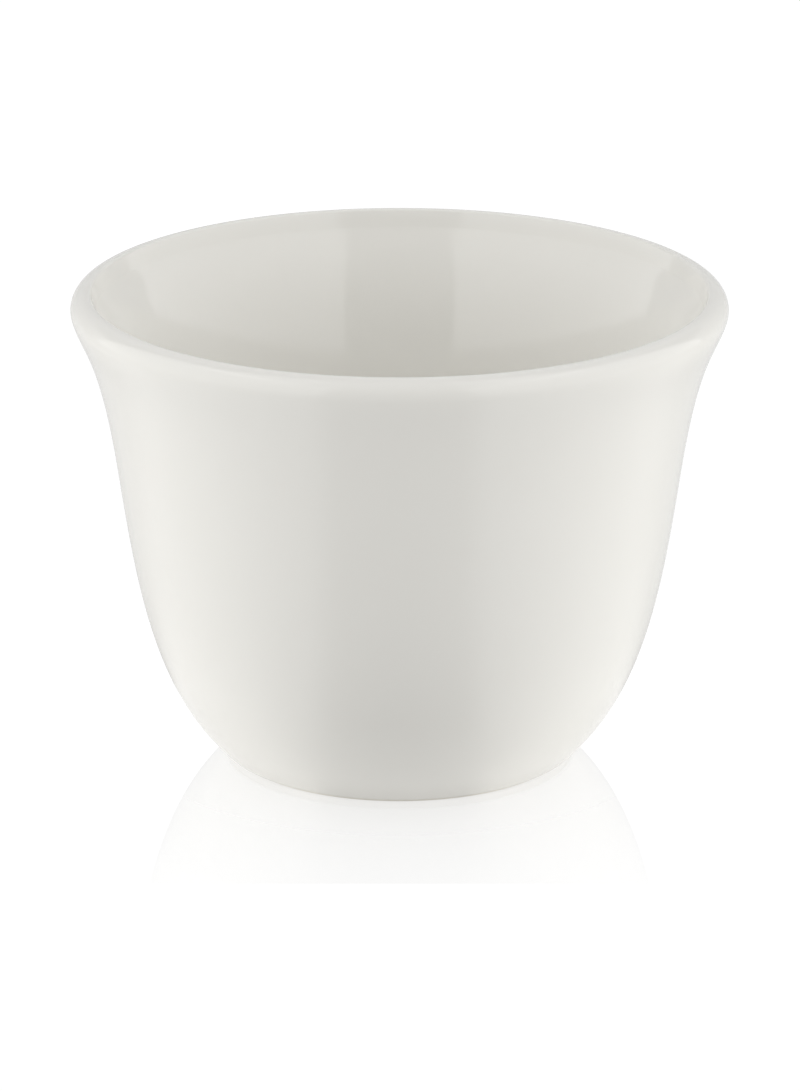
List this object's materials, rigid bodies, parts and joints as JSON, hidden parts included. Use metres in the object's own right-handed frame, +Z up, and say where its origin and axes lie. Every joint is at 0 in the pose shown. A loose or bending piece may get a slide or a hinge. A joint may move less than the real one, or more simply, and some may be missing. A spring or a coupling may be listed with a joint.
{
  "type": "arabic coffee cup",
  "caption": "Small handleless porcelain coffee cup with a narrow foot ring, a round belly, a flared lip and an all-over glossy white glaze.",
  "frame": {"origin": "centre of the foot ring, on the plane that the cup stands on", "axes": "+Z up along the cup's axis; the cup is the same all round it"},
  "size_m": [0.066, 0.066, 0.0484],
  "materials": {
    "bisque_porcelain": "fired, unglazed, fine matte grain",
    "white_glaze": "glossy transparent glaze on white porcelain, slightly warm white"
  },
  "bodies": {
    "root": {"porcelain_body": "bisque_porcelain", "cup_glaze": "white_glaze", "foot_glaze": "white_glaze"}
  },
  "joints": []
}
